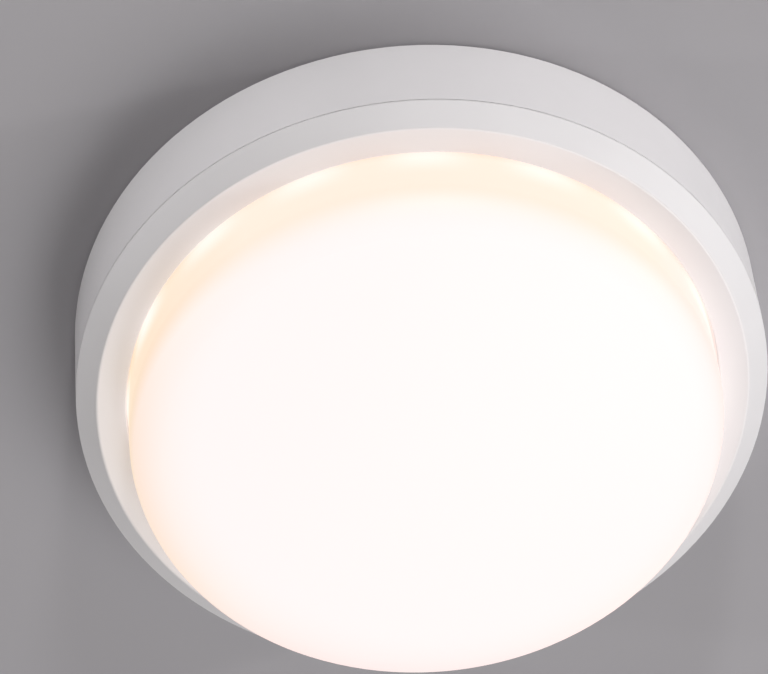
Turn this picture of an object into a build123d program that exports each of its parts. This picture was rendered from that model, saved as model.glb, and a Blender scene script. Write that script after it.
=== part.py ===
from build123d import *
import os
from math import cos, radians, sin

os.makedirs("parts", exist_ok=True)

# Round outdoor wall light, in millimetres. The origin is the centre of the mounting face,
# the light looks along -Y and +Z is up. A radius is measured from the light's axis and a
# height outwards from the wall. Places on the front are (x, z) pairs.

# Body: a shallow die-cast pan
body_radius = 140.0
body_front_radius = 139.4
body_height = 40.0
body_wall = 3.0
plate_back = 2.0
plate_front = 5.0
rim_inner_radius = 136.5
foam_rib_radius = 131.0
foam_rib_width = 2.0
foam_rib_back = 0.5
inside_chamfer = 1.6
back_edge_chamfer = 0.8

# How far a rib runs into the wall that carries it, and a cut past the face that it opens
root = 0.5
through = 1.0

# Upright wall that carries the diffuser's seal
seal_wall_inner = 121.5
seal_wall_outer = 127.5
seal_wall_height = 38.0
groove_inner = 123.0
groove_outer = 126.0
groove_floor = 35.0
gasket_top = 38.1
gasket_crown = 0.8

# Fixing to the wall
screw_circle = 200.0
wall_screw_count = 4
wall_hole_radius = 2.75
wall_pad_radius = 9.0
wall_boss_height = 8.0

# Back face ribs
back_rib_count = 8
back_rib_width = 2.0
back_rib_inner = 40.0
back_rib_outer = 120.0
back_ring_radius = 80.0
first_rib_angle = 22.5

# Webs between the seal wall and the side wall, below the ring's skirt
web_count = 8
web_width = 2.0
web_top = 26.0

# Bayonet between the body and the trim ring
bayonet_count = 4
bayonet_angle = 45.0
tab_inner = 132.4
tab_low = 33.1
tab_high = 35.6
tab_half_angle = 10.0
stop_low = 30.0
stop_half_angle = 1.0
closed_stop_angle = -9.0
open_stop_angle = 29.5
lug_outer = 135.6
lug_low = 30.0
lug_high = 32.8
lug_half_angle = 7.0

# Pegs that keep the diffuser from turning
peg_angles = (0.0, 180.0)
peg_inner = 126.4
peg_width = 5.0
peg_height = 40.6
notch_inner = 126.1
notch_width = 6.0

# Diffuser: a drum with a round shoulder and a shallow crown
drum_radius = 118.3
diffuser_thickness = 2.2
flange_radius = 128.6
flange_low = 38.4
flange_high = 41.0
shoulder_centre_radius = 101.5
shoulder_centre_height = 66.6
shoulder_radius = 16.8
crown_half_angle = 14.0
flange_chamfer = 0.8

# Trim ring
ring_outer = 139.35
ring_seam = 40.3
ring_edge_height = 41.0
crest_radius = 131.0
crest_height = 47.8
lip_radius = 119.2
lip_height = 46.4
lip_low = 41.3
lip_thickness = 2.2
ring_shell = 2.2
press_rib_inner = 123.8
press_rib_outer = 125.2
skirt_inner = 129.6
skirt_outer = 131.6
skirt_low = 29.5
bead_inner = 128.2
bead_low = 37.3
bead_high = 38.1
bead_half_angle = 5.0
crest_chamfer = 0.5
lip_chamfer = 0.45

# Gear tray
tray_radius = 118.0
tray_low = 33.8
tray_high = 35.0
tray_rim_low = 32.2
tray_rim_wall = 1.2
tray_boss = 56.0
tray_boss_radius = 5.0
tray_screw_hole = 1.8
tray_screw_length = 9.0
tray_pilot_depth = 10.0
tray_bead_rows = (12.0, 28.0, 44.0)
tray_bead_size = (84.0, 6.0)
tray_bead_rise = 0.9
window_centre = (0.0, -52.0)
window_size = (64.0, 40.0)
window_corner = 4.0
lead_hole = (-68.0, 40.0)
lead_hole_radius = 4.5

# LED board, its diodes and its connector
board_inner = 84.0
board_outer = 112.0
board_thickness = 1.6
diode_count = 16
outer_diode_circle = 106.0
inner_diode_circle = 91.0
diode_size = 3.0
diode_height = 0.7
emitter_size = 2.2
emitter_height = 0.15
board_screw_circle = 98.0
board_screw_count = 8
board_screw_angle = 11.25
board_screw_length = 2.4
connector_place = (-81.0, 46.5)
connector_turn = 150.0
connector_size = (7.0, 9.0, 2.6)

# Driver
driver_place = (0.0, 55.0)
driver_size = (80.0, 40.0)
driver_base = 8.0
driver_top = 26.4
driver_wall = 1.6
driver_corner = 3.0
driver_lid_top = 28.0
driver_foot_offset = 44.0
driver_foot_radius = 4.5
driver_foot_thickness = 2.0
driver_screw_length = 6.0
driver_pilot_depth = 5.0
driver_rail_offset = 14.0
driver_rail_size = (72.0, 2.4)
driver_slot_offset = 9.5
driver_slot_width = 8.0
driver_slot_depth = 8.0
lid_chamfer = 0.5
lid_lip_gap = 0.2
lid_lip_wall = 1.3
lid_lip_height = 2.0
lid_notch = (6.0, 12.0)

# Driver board: places are offsets from the driver's centre
driver_board_size = (74.8, 35.8)
driver_board_base = 12.0
transformer_place = (4.0, 0.0)
transformer_size = (20.0, 18.0)
choke_place = (-14.0, -10.0)
choke_size = (8.0, 10.0)
wound_part_height = 10.0
capacitors = (((24.0, -6.0), 5.0), ((-26.0, -8.0), 4.0))
capacitor_height = 9.0

# Terminal block with three push buttons
block_place = (0.0, -52.0)
block_size = (42.0, 22.0)
block_base = 11.0
block_top = 26.0
pole_pitch = 11.0
button_size = (5.8, 4.8)
button_top = 28.0
button_foot = (5.8, 8.4)
button_foot_low = 20.8
button_foot_high = 22.2
chamber_low = 19.0
chamber_high = 22.5
button_gap = 0.3
port_radius = 2.0
port_height = 14.4
contact_size = (5.6, 12.0, 5.6)
contact_hole_radius = 1.7
barrier_size = (1.2, 20.0)
barrier_rise = 0.8
block_chamfer = 0.6
block_screw_offset = 17.8
block_screw_length = 17.0
block_recess = 4.0
block_boss_radius = 3.3
block_pilot_depth = 8.0
pedestal_margin = 1.0
pedestal_wall = 3.0
pedestal_corner = 2.0

# Cable entries, cord clamp and earth point
entry_place = (-22.0, 0.0)
spare_place = (22.0, 0.0)
entry_hole_radius = 11.0
grommet_flange_radius = 14.0
grommet_back = 0.7
grommet_flange_front = 6.6
grommet_sleeve_radius = 6.6
grommet_top = 12.0
grommet_step = 7.2
grommet_step_radius = 5.4
grommet_root = 1.2
grommet_taper = 0.6
plug_recess = 2.0
cable_radius = 4.0
seat_gap = 0.1
clamp_place = (-22.0, -21.0)
clamp_screw_offset = 9.0
clamp_boss_radius = 3.5
clamp_boss_top = 8.0
clamp_size = (26.0, 7.0, 2.4)
clamp_arch_radius = 4.2
clamp_arch_wall = 1.4
clamp_screw_length = 6.0
clamp_pilot_depth = 5.0
earth_place = (-46.0, -80.0)
earth_boss_radius = 4.5
earth_boss_top = 11.0
earth_screw_length = 6.5
earth_pilot_depth = 7.0
tag_radius = 4.0
tag_thickness = 0.8
tag_neck_offset = 5.0
tag_neck_size = (7.0, 3.2)
barrel_offset = 6.5
barrel_length = 6.0
barrel_wall = 0.6

# Screws
small_head_radius = 2.9
small_head_height = 1.9
small_shank_radius = 1.45
small_pilot_radius = 1.5
small_clear_radius = 1.65
tiny_head_radius = 2.1
tiny_head_height = 1.2
tiny_shank_radius = 1.0
tiny_pilot_radius = 1.05
tiny_clear_radius = 1.2
head_gap = 0.3
screw_sides = 12
small_chamfer = 0.4

# Leads
lead_radius = 1.2
thin_lead_radius = 0.9
lead_sides = 6
port_depth = 4.0

FRONT = Plane(origin=(0, 0, 0), x_dir=(1, 0, 0), z_dir=(0, -1, 0))


def front(height):
    """The plane parallel to the wall at a height."""
    return FRONT.offset(height)


def section(angle=0.0):
    """The half plane through the axis at an angle from +X towards +Z: x is radius, y is height."""
    turn = radians(angle)
    return Plane(
        origin=(0, 0, 0),
        x_dir=(cos(turn), 0, sin(turn)),
        z_dir=(sin(turn), 0, -cos(turn)),
    )


def bayonet_sections(offset, half_angle):
    """The sections from which a piece at each bayonet place is revolved."""
    return [
        section(bayonet_angle + 360 / bayonet_count * i + offset + half_angle)
        for i in range(bayonet_count)
    ]


def section_box(inner, outer, low, high):
    """A rectangle in a section, from two radii and two heights."""
    with Locations(((inner + outer) / 2, (low + high) / 2)):
        Rectangle(outer - inner, high - low)


def place(x, z, height):
    """A point of the light from its place on the front and its height."""
    return (x, -height, z)


def finish(piece, name):
    """Label a finished piece and write it."""
    piece.part.label = name
    export_step(piece.part, f"parts/{name}.step")


tray_corners = [(x, z) for x in (-tray_boss, tray_boss) for z in (-tray_boss, tray_boss)]
driver_feet = [(driver_place[0] + side * driver_foot_offset, driver_place[1]) for side in (-1, 1)]
driver_rails = [(driver_place[0], driver_place[1] + side * driver_rail_offset) for side in (-1, 1)]
clamp_holes = [(clamp_place[0] + side * clamp_screw_offset, clamp_place[1]) for side in (-1, 1)]
block_holes = [(block_place[0] + side * block_screw_offset, block_place[1]) for side in (-1, 1)]
poles = [(block_place[0] + side * pole_pitch, block_place[1]) for side in (-1, 0, 1)]
block_back = block_place[1] - block_size[1] / 2
pedestal_size = [side + 2 * pedestal_margin for side in block_size]

# Housing
with BuildPart() as housing:
    with BuildSketch(section()):
        with BuildLine():
            Polyline(
                (0, plate_back),
                (foam_rib_radius - foam_rib_width, plate_back),
                (foam_rib_radius - foam_rib_width, foam_rib_back),
                (foam_rib_radius, foam_rib_back),
                (foam_rib_radius, plate_back),
                (rim_inner_radius, plate_back),
                (rim_inner_radius, 0),
                (body_radius, 0),
                (body_front_radius, body_height),
                (body_front_radius - body_wall, body_height),
                (body_front_radius - body_wall, plate_front),
                (seal_wall_outer, plate_front),
                (seal_wall_outer, seal_wall_height),
                (groove_outer, seal_wall_height),
                (groove_outer, groove_floor),
                (groove_inner, groove_floor),
                (groove_inner, seal_wall_height),
                (seal_wall_inner, seal_wall_height),
                (seal_wall_inner, plate_front),
                (0, plate_front),
                close=True,
            )
        make_face()
        pan_corners = [
            corner
            for corner in vertices()
            if corner.X > seal_wall_inner - 1 and abs(corner.Y - plate_front) < 0.1
        ]
        chamfer(pan_corners, inside_chamfer)
        chamfer(vertices().group_by(Axis.X)[-1].sort_by(Axis.Y)[0], back_edge_chamfer)
    revolve(axis=Axis.Y)
    # Wall screw pads and bosses
    with BuildSketch(front(0)):
        with PolarLocations(screw_circle / 2, wall_screw_count):
            Circle(wall_pad_radius)
    extrude(amount=wall_boss_height)
    # Ribs across the back, between the pads
    rib_length = back_rib_outer - back_rib_inner
    with BuildSketch(front(foam_rib_back)):
        with PolarLocations((back_rib_inner + back_rib_outer) / 2, back_rib_count, first_rib_angle):
            Rectangle(rib_length, back_rib_width)
    extrude(amount=plate_back - foam_rib_back)
    with BuildSketch(front(foam_rib_back)):
        Circle(back_ring_radius + back_rib_width / 2)
        Circle(back_ring_radius - back_rib_width / 2, mode=Mode.SUBTRACT)
    extrude(amount=plate_back - foam_rib_back)
    # Webs in the channel
    side_wall_inner = body_front_radius - body_wall
    with BuildSketch(front(plate_front)):
        with PolarLocations((seal_wall_outer + side_wall_inner) / 2, web_count, first_rib_angle):
            Rectangle(side_wall_inner - seal_wall_outer + 2 * root, web_width)
    extrude(amount=web_top - plate_front)
    # Bosses for the tray, the driver, the clamp and the earth point
    with BuildSketch(front(plate_front)):
        with Locations(*tray_corners):
            Circle(tray_boss_radius)
    extrude(amount=tray_low - plate_front)
    with BuildSketch(front(plate_front)):
        with Locations(*driver_feet):
            Circle(driver_foot_radius)
        with Locations(*driver_rails):
            Rectangle(*driver_rail_size)
    extrude(amount=driver_base - plate_front)
    with BuildSketch(front(plate_front)):
        with Locations(*clamp_holes):
            Circle(clamp_boss_radius)
    extrude(amount=clamp_boss_top - plate_front)
    with BuildSketch(front(plate_front)):
        with Locations(earth_place):
            Circle(earth_boss_radius)
    extrude(amount=earth_boss_top - plate_front)
    # Pedestal for the terminal block
    with BuildSketch(front(plate_front)):
        with Locations(block_place):
            RectangleRounded(*pedestal_size, pedestal_corner)
            Rectangle(*[side - 2 * pedestal_wall for side in pedestal_size], mode=Mode.SUBTRACT)
        with Locations(*block_holes):
            Circle(block_boss_radius)
    extrude(amount=block_base - plate_front)
    # Bayonet tabs and their end stops on the inside of the outer wall
    with BuildSketch(*bayonet_sections(0, tab_half_angle)):
        section_box(tab_inner, side_wall_inner + root, tab_low, tab_high)
    revolve(axis=Axis.Y, revolution_arc=2 * tab_half_angle)
    for stop_angle in (closed_stop_angle, open_stop_angle):
        with BuildSketch(*bayonet_sections(stop_angle, stop_half_angle)):
            section_box(tab_inner, side_wall_inner + root, stop_low, tab_high)
        revolve(axis=Axis.Y, revolution_arc=2 * stop_half_angle)
    # Pegs on the seal wall
    for angle in peg_angles:
        with BuildSketch(section(angle).offset(-peg_width / 2)):
            section_box(peg_inner, seal_wall_outer, seal_wall_height - root, peg_height)
        extrude(amount=peg_width)
    # Holes
    with Locations(front(wall_boss_height)):
        with PolarLocations(screw_circle / 2, wall_screw_count):
            Hole(wall_hole_radius)
    with BuildSketch(front(0)):
        with Locations(entry_place, spare_place):
            Circle(entry_hole_radius)
    extrude(amount=plate_front + through, mode=Mode.SUBTRACT)
    for points, top, pilot, depth in (
        (tray_corners, tray_low, small_pilot_radius, tray_pilot_depth),
        (driver_feet, driver_base, small_pilot_radius, driver_pilot_depth),
        (clamp_holes, clamp_boss_top, small_pilot_radius, clamp_pilot_depth),
        ([earth_place], earth_boss_top, small_pilot_radius, earth_pilot_depth),
        (block_holes, block_base, tiny_pilot_radius, block_pilot_depth),
    ):
        with BuildSketch(front(top)):
            with Locations(*points):
                Circle(pilot)
        extrude(amount=-depth, mode=Mode.SUBTRACT)
finish(housing, "housing")

# Foam gasket behind the rim
with BuildPart() as wall_gasket:
    with BuildSketch(front(0)):
        Circle(rim_inner_radius - seat_gap)
        Circle(foam_rib_radius + seat_gap, mode=Mode.SUBTRACT)
    extrude(amount=plate_back)
finish(wall_gasket, "wall_gasket")

# Silicone seal in the groove, crowned where the diffuser presses on it
with BuildPart() as diffuser_gasket:
    with BuildSketch(section()):
        section_box(groove_inner + seat_gap, groove_outer - seat_gap, groove_floor, gasket_top)
        chamfer(vertices().group_by(Axis.Y)[-1], gasket_crown)
    revolve(axis=Axis.Y)
finish(diffuser_gasket, "diffuser_gasket")

# Diffuser
crown_radius = (
    shoulder_centre_radius + shoulder_radius * sin(radians(crown_half_angle))
) / sin(radians(crown_half_angle))
crown_centre_height = (
    shoulder_centre_height
    + shoulder_radius * cos(radians(crown_half_angle))
    - crown_radius * cos(radians(crown_half_angle))
)
shoulder_arc = 90 - crown_half_angle
drum_inner = drum_radius - diffuser_thickness
with BuildPart() as diffuser:
    with BuildSketch(section()):
        with BuildLine():
            shoulder_centre = (shoulder_centre_radius, shoulder_centre_height)
            crown_centre = (0, crown_centre_height)
            outer_shoulder = CenterArc(shoulder_centre, shoulder_radius, 0, shoulder_arc)
            outer_crown = CenterArc(crown_centre, crown_radius, shoulder_arc, crown_half_angle)
            inner_shoulder = CenterArc(
                shoulder_centre, shoulder_radius - diffuser_thickness, 0, shoulder_arc
            )
            inner_crown = CenterArc(
                crown_centre, crown_radius - diffuser_thickness, shoulder_arc, crown_half_angle
            )
            Polyline(
                outer_shoulder @ 0,
                (drum_radius, flange_high),
                (flange_radius, flange_high),
                (flange_radius, flange_low),
                (drum_inner, flange_low),
                inner_shoulder @ 0,
            )
            Line(outer_crown @ 1, inner_crown @ 1)
        make_face()
    revolve(axis=Axis.Y)
    flange_edges = edges().filter_by(GeomType.CIRCLE)
    corner_edge = [
        edge
        for edge in flange_edges
        if abs(edge.radius - drum_radius) < 0.01 and abs(edge.center().Y + flange_high) < 0.01
    ]
    chamfer(corner_edge, flange_chamfer)
    notch_length = flange_radius - notch_inner + through
    with BuildSketch(front(flange_low)):
        with PolarLocations(notch_inner + notch_length / 2, len(peg_angles)):
            Rectangle(notch_length, notch_width)
    extrude(amount=flange_high - flange_low, mode=Mode.SUBTRACT)
finish(diffuser, "diffuser")

# Trim ring: bevel, face, lip, pressure rib and the skirt that carries the lugs
bevel_run = ring_outer - crest_radius
bevel_rise = crest_height - ring_edge_height
bevel_length = (bevel_run**2 + bevel_rise**2) ** 0.5
under_bevel_offset = ring_shell * bevel_length / bevel_rise
under_bevel_slope = bevel_rise / bevel_run


def under_bevel(radius):
    """The height of the bevel's inner surface at a radius."""
    return ring_edge_height + (ring_outer - under_bevel_offset - radius) * under_bevel_slope


def under_face(radius):
    """The height of the face's inner surface at a radius."""
    slope = (crest_height - lip_height) / (crest_radius - lip_radius)
    return lip_height + (radius - lip_radius) * slope - ring_shell


seam_inner = ring_outer - under_bevel_offset - (ring_seam - ring_edge_height) / under_bevel_slope
with BuildPart() as trim_ring:
    with BuildSketch(section()):
        with BuildLine():
            Polyline(
                (ring_outer, ring_seam),
                (ring_outer, ring_edge_height),
                (crest_radius, crest_height),
                (lip_radius, lip_height),
                (lip_radius, lip_low),
                (lip_radius + lip_thickness, lip_low),
                (lip_radius + lip_thickness, under_face(lip_radius + lip_thickness)),
                (press_rib_inner, under_face(press_rib_inner)),
                (press_rib_inner, lip_low),
                (press_rib_outer, lip_low),
                (press_rib_outer, under_face(press_rib_outer)),
                (skirt_inner, under_face(skirt_inner)),
                (skirt_inner, skirt_low),
                (skirt_outer, skirt_low),
                (skirt_outer, under_bevel(skirt_outer)),
                (seam_inner, ring_seam),
                close=True,
            )
        make_face()
        chamfer(vertices().sort_by(Axis.Y)[-1], crest_chamfer)
        chamfer(vertices().group_by(Axis.X)[0].sort_by(Axis.Y)[-1], lip_chamfer)
    revolve(axis=Axis.Y)
    # Bayonet lugs
    with BuildSketch(*bayonet_sections(0, lug_half_angle)):
        section_box(skirt_outer - root, lug_outer, lug_low, lug_high)
    revolve(axis=Axis.Y, revolution_arc=2 * lug_half_angle)
    # Beads that hold the diffuser's flange
    with BuildSketch(*bayonet_sections(0, bead_half_angle)):
        section_box(bead_inner, skirt_inner + root, bead_low, bead_high)
    revolve(axis=Axis.Y, revolution_arc=2 * bead_half_angle)
finish(trim_ring, "trim_ring")

# Gear tray
with BuildPart() as gear_tray:
    with BuildSketch(front(tray_low)):
        Circle(tray_radius)
    extrude(amount=tray_high - tray_low)
    with BuildSketch(front(tray_rim_low)):
        Circle(tray_radius)
        Circle(tray_radius - tray_rim_wall, mode=Mode.SUBTRACT)
    extrude(amount=tray_low - tray_rim_low)
    # Pressed beads that stiffen the middle
    with BuildSketch(front(tray_high)):
        with Locations(*[(0, row) for row in tray_bead_rows]):
            SlotOverall(*tray_bead_size)
    extrude(amount=tray_bead_rise)
    with BuildSketch(front(tray_low)):
        with Locations(window_centre):
            RectangleRounded(*window_size, window_corner)
        with Locations(lead_hole):
            Circle(lead_hole_radius)
        with Locations(*tray_corners):
            Circle(tray_screw_hole)
        with PolarLocations(board_screw_circle, board_screw_count, board_screw_angle):
            Circle(tiny_pilot_radius)
    extrude(amount=tray_high - tray_low, mode=Mode.SUBTRACT)
finish(gear_tray, "gear_tray")

# LED board
board_top = tray_high + board_thickness
with BuildPart() as led_board:
    with BuildSketch(front(tray_high)):
        Circle(board_outer)
        Circle(board_inner, mode=Mode.SUBTRACT)
        with PolarLocations(board_screw_circle, board_screw_count, board_screw_angle):
            Circle(tiny_clear_radius, mode=Mode.SUBTRACT)
    extrude(amount=board_thickness)
finish(led_board, "led_board")


def diode_sketch(size):
    """One square at each diode: the outer circle, and the inner one half a step on."""
    with PolarLocations(outer_diode_circle, diode_count):
        Rectangle(size, size)
    with PolarLocations(inner_diode_circle, diode_count, 180 / diode_count):
        Rectangle(size, size)


with BuildPart() as led_packages:
    with BuildSketch(front(board_top)):
        diode_sketch(diode_size)
    extrude(amount=diode_height)
finish(led_packages, "led_packages")

with BuildPart() as led_emitters:
    with BuildSketch(front(board_top + diode_height)):
        diode_sketch(emitter_size)
    extrude(amount=emitter_height)
finish(led_emitters, "led_emitters")

with BuildPart() as board_connector:
    with BuildSketch(front(board_top)):
        with Locations(Location((connector_place[0], connector_place[1], 0), connector_turn)):
            Rectangle(connector_size[0], connector_size[1])
    extrude(amount=connector_size[2])
    connector_top = faces().sort_by(Axis.Y)[0]
    chamfer(connector_top.edges(), small_chamfer)
finish(board_connector, "board_connector")

# Driver
driver_inner = [side - 2 * driver_wall for side in driver_size]
driver_slot = driver_place[1] + driver_slot_offset
with BuildPart() as driver_case:
    with BuildSketch(front(driver_base)):
        with Locations(driver_place):
            RectangleRounded(*driver_size, driver_corner)
    extrude(amount=driver_top - driver_base)
    with BuildSketch(front(driver_base + driver_wall)):
        with Locations(driver_place):
            RectangleRounded(*driver_inner, driver_corner - driver_wall)
    extrude(amount=driver_top - driver_base - driver_wall, mode=Mode.SUBTRACT)
    with BuildSketch(front(driver_base)):
        for foot, side in zip(driver_feet, (1, -1)):
            with Locations(foot):
                Circle(driver_foot_radius)
            with Locations((foot[0] + side * driver_foot_radius / 2, foot[1])):
                Rectangle(driver_foot_radius, 2 * driver_foot_radius)
        with Locations(*driver_feet):
            Circle(tray_screw_hole, mode=Mode.SUBTRACT)
    extrude(amount=driver_foot_thickness)
    # Slots through which the leads leave each end
    for side in (-1, 1):
        with BuildSketch(front(driver_top)):
            with Locations((driver_place[0] + side * driver_size[0] / 2, driver_slot)):
                Rectangle(2 * (driver_wall + through), driver_slot_width)
        extrude(amount=-driver_slot_depth, mode=Mode.SUBTRACT)
finish(driver_case, "driver_case")

with BuildPart() as driver_board:
    with BuildSketch(front(driver_board_base)):
        with Locations(driver_place):
            Rectangle(*driver_board_size)
    extrude(amount=board_thickness)
    with BuildSketch(front(driver_board_base + board_thickness)):
        with Locations(driver_place):
            with Locations(transformer_place):
                Rectangle(*transformer_size)
            with Locations(choke_place):
                Rectangle(*choke_size)
    extrude(amount=wound_part_height)
    with BuildSketch(front(driver_board_base + board_thickness)):
        for offset, radius in capacitors:
            with Locations(driver_place):
                with Locations(offset):
                    Circle(radius)
    extrude(amount=capacitor_height)
finish(driver_board, "driver_board")

with BuildPart() as driver_lid:
    with BuildSketch(front(driver_top)):
        with Locations(driver_place):
            RectangleRounded(*driver_size, driver_corner)
    extrude(amount=driver_lid_top - driver_top)
    chamfer(faces().sort_by(Axis.Y)[0].edges(), lid_chamfer)
    lip_size = [side - 2 * lid_lip_gap for side in driver_inner]
    with BuildSketch(front(driver_top)):
        with Locations(driver_place):
            RectangleRounded(*lip_size, driver_corner - driver_wall)
            Rectangle(*[side - 2 * lid_lip_wall for side in lip_size], mode=Mode.SUBTRACT)
        with Locations(*[(driver_place[0] + side * driver_inner[0] / 2, driver_slot) for side in (-1, 1)]):
            Rectangle(*lid_notch, mode=Mode.SUBTRACT)
    extrude(amount=-lid_lip_height)
finish(driver_lid, "driver_lid")

# Terminal block, its contacts and its three buttons
with BuildPart() as terminal_block:
    with BuildSketch(front(block_base)):
        with Locations(block_place):
            Rectangle(*block_size)
        chamfer(vertices(), block_chamfer)
    extrude(amount=block_top - block_base)
    chamfer(faces().sort_by(Axis.Y)[0].edges(), block_chamfer)
    # Barriers between the poles
    with BuildSketch(front(block_top)):
        with Locations(*[(block_place[0] + side * pole_pitch / 2, block_place[1]) for side in (-1, 1)]):
            Rectangle(*barrier_size)
    extrude(amount=barrier_rise)
    with BuildSketch(front(block_base)):
        with Locations(*poles):
            Rectangle(contact_size[0] + 2 * seat_gap, contact_size[1] + 2 * seat_gap)
    extrude(amount=contact_size[2] + 2 * seat_gap, mode=Mode.SUBTRACT)
    with BuildSketch(front(chamber_low)):
        with Locations(*poles):
            Rectangle(button_foot[0] + 2 * button_gap, button_foot[1] + 2 * button_gap)
    extrude(amount=chamber_high - chamber_low, mode=Mode.SUBTRACT)
    with BuildSketch(front(chamber_high)):
        with Locations(*poles):
            Rectangle(button_size[0] + 2 * button_gap, button_size[1] + 2 * button_gap)
    extrude(amount=block_top - chamber_high, mode=Mode.SUBTRACT)
    port_plane = Plane(origin=place(0, block_back, port_height), x_dir=(1, 0, 0), z_dir=(0, 0, 1))
    with BuildSketch(port_plane):
        with Locations(*[(pole[0], 0) for pole in poles]):
            Circle(port_radius)
    extrude(amount=block_size[1], mode=Mode.SUBTRACT)
    with BuildSketch(front(block_base)):
        with Locations(*block_holes):
            Circle(tiny_clear_radius)
    extrude(amount=block_top - block_base, mode=Mode.SUBTRACT)
    with BuildSketch(front(block_top)):
        with Locations(*block_holes):
            Circle(tiny_head_radius + head_gap)
    extrude(amount=-block_recess, mode=Mode.SUBTRACT)
finish(terminal_block, "terminal_block")

with BuildPart() as terminal_contacts:
    with BuildSketch(front(block_base)):
        with Locations(*poles):
            Rectangle(contact_size[0], contact_size[1])
    extrude(amount=contact_size[2])
    with BuildSketch(port_plane):
        with Locations(*[(pole[0], 0) for pole in poles]):
            Circle(contact_hole_radius)
    extrude(amount=block_size[1], mode=Mode.SUBTRACT)
finish(terminal_contacts, "terminal_contacts")

for pole, conductor in zip(poles, ("earth", "neutral", "live")):
    with BuildPart() as button:
        with BuildSketch(front(button_foot_low)):
            with Locations(pole):
                Rectangle(*button_foot)
        extrude(amount=button_foot_high - button_foot_low)
        with BuildSketch(front(button_foot_high)):
            with Locations(pole):
                Rectangle(*button_size)
        extrude(amount=button_top - button_foot_high)
        chamfer(faces().sort_by(Axis.Y)[0].edges(), small_chamfer)
    finish(button, f"terminal_button_{conductor}")

# Cable grommet, stepped inside, with a sleeve that grips the cable
with BuildPart() as cable_grommet:
    with BuildSketch(section()):
        with BuildLine():
            Polyline(
                (grommet_step_radius, grommet_back),
                (grommet_flange_radius, grommet_back),
                (grommet_flange_radius, plate_back),
                (entry_hole_radius - seat_gap, plate_back),
                (entry_hole_radius - seat_gap, plate_front),
                (grommet_flange_radius, plate_front),
                (grommet_flange_radius, grommet_flange_front),
                (grommet_sleeve_radius + grommet_root, grommet_flange_front),
                (grommet_sleeve_radius, grommet_step),
                (grommet_sleeve_radius - grommet_taper, grommet_top),
                (cable_radius, grommet_top),
                (cable_radius, grommet_step),
                (grommet_step_radius, grommet_step),
                close=True,
            )
        make_face()
    revolve(axis=Axis.Y)
cable_grommet.part = Pos(entry_place[0], 0, entry_place[1]) * cable_grommet.part
finish(cable_grommet, "cable_grommet")

# Blanking plug in the spare entry
with BuildPart() as spare_entry_plug:
    with BuildSketch(front(grommet_back)):
        with Locations(spare_place):
            Circle(grommet_flange_radius)
    extrude(amount=plate_back - grommet_back)
    with BuildSketch(front(plate_back)):
        with Locations(spare_place):
            Circle(entry_hole_radius - seat_gap)
    extrude(amount=plate_front - plate_back)
    with BuildSketch(front(plate_front)):
        with Locations(spare_place):
            Circle(grommet_flange_radius)
    extrude(amount=grommet_flange_front - plate_front)
    with BuildSketch(front(grommet_flange_front)):
        with Locations(spare_place):
            Circle(grommet_sleeve_radius)
    extrude(amount=-plug_recess, mode=Mode.SUBTRACT)
finish(spare_entry_plug, "spare_entry_plug")

# Cord clamp: a bar with an arch over the cable
with BuildPart() as cord_clamp:
    with BuildSketch(front(clamp_boss_top)):
        with Locations(clamp_place):
            SlotOverall(clamp_size[0], clamp_size[1])
    extrude(amount=clamp_size[2])
    clamp_end = Plane(
        origin=place(clamp_place[0], clamp_place[1] - clamp_size[1] / 2, clamp_boss_top),
        x_dir=(1, 0, 0),
        z_dir=(0, 0, 1),
    )
    with BuildSketch(clamp_end):
        Circle(clamp_arch_radius + clamp_arch_wall)
    extrude(amount=clamp_size[1])
    with BuildSketch(clamp_end):
        Circle(clamp_arch_radius)
    extrude(amount=clamp_size[1], mode=Mode.SUBTRACT)
    split(bisect_by=front(clamp_boss_top), keep=Keep.TOP)
    with BuildSketch(front(clamp_boss_top)):
        with Locations(*clamp_holes):
            Circle(small_clear_radius)
    extrude(amount=clamp_size[2], mode=Mode.SUBTRACT)
finish(cord_clamp, "cord_clamp")

# Earth tag: a ring terminal with a crimped barrel that takes the lead
tag_top = earth_boss_top + tag_thickness
barrel_height = tag_top + lead_radius + seat_gap
with BuildPart() as earth_tag:
    with BuildSketch(front(earth_boss_top)):
        with Locations(earth_place):
            Circle(tag_radius)
        with Locations((earth_place[0] + tag_neck_offset, earth_place[1])):
            Rectangle(*tag_neck_size)
        with Locations(earth_place):
            Circle(small_clear_radius, mode=Mode.SUBTRACT)
    extrude(amount=tag_thickness)
    barrel_end = Plane(
        origin=place(earth_place[0] + barrel_offset, earth_place[1], barrel_height),
        x_dir=(0, 0, 1),
        z_dir=(1, 0, 0),
    )
    with BuildSketch(barrel_end):
        Circle(lead_radius + seat_gap + barrel_wall)
    extrude(amount=barrel_length)
    with BuildSketch(barrel_end):
        Circle(lead_radius + seat_gap)
    extrude(amount=barrel_length, mode=Mode.SUBTRACT)
finish(earth_tag, "earth_tag")


def screws(places, seat, head_radius, head_height, shank_radius, shank_length):
    """Screws with twelve-sided heads and shanks, all with their heads on one height."""
    with BuildPart() as group:
        with BuildSketch(front(seat)):
            with Locations(*places):
                RegularPolygon(head_radius, screw_sides)
        extrude(amount=head_height)
        with BuildSketch(front(seat)):
            with Locations(*places):
                RegularPolygon(shank_radius, screw_sides)
        extrude(amount=-shank_length)
    return group


def polar_places(radius, count, start):
    """Evenly spaced places on a circle."""
    steps = [radians(start + 360 / count * i) for i in range(count)]
    return [(radius * cos(step), radius * sin(step)) for step in steps]


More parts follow.
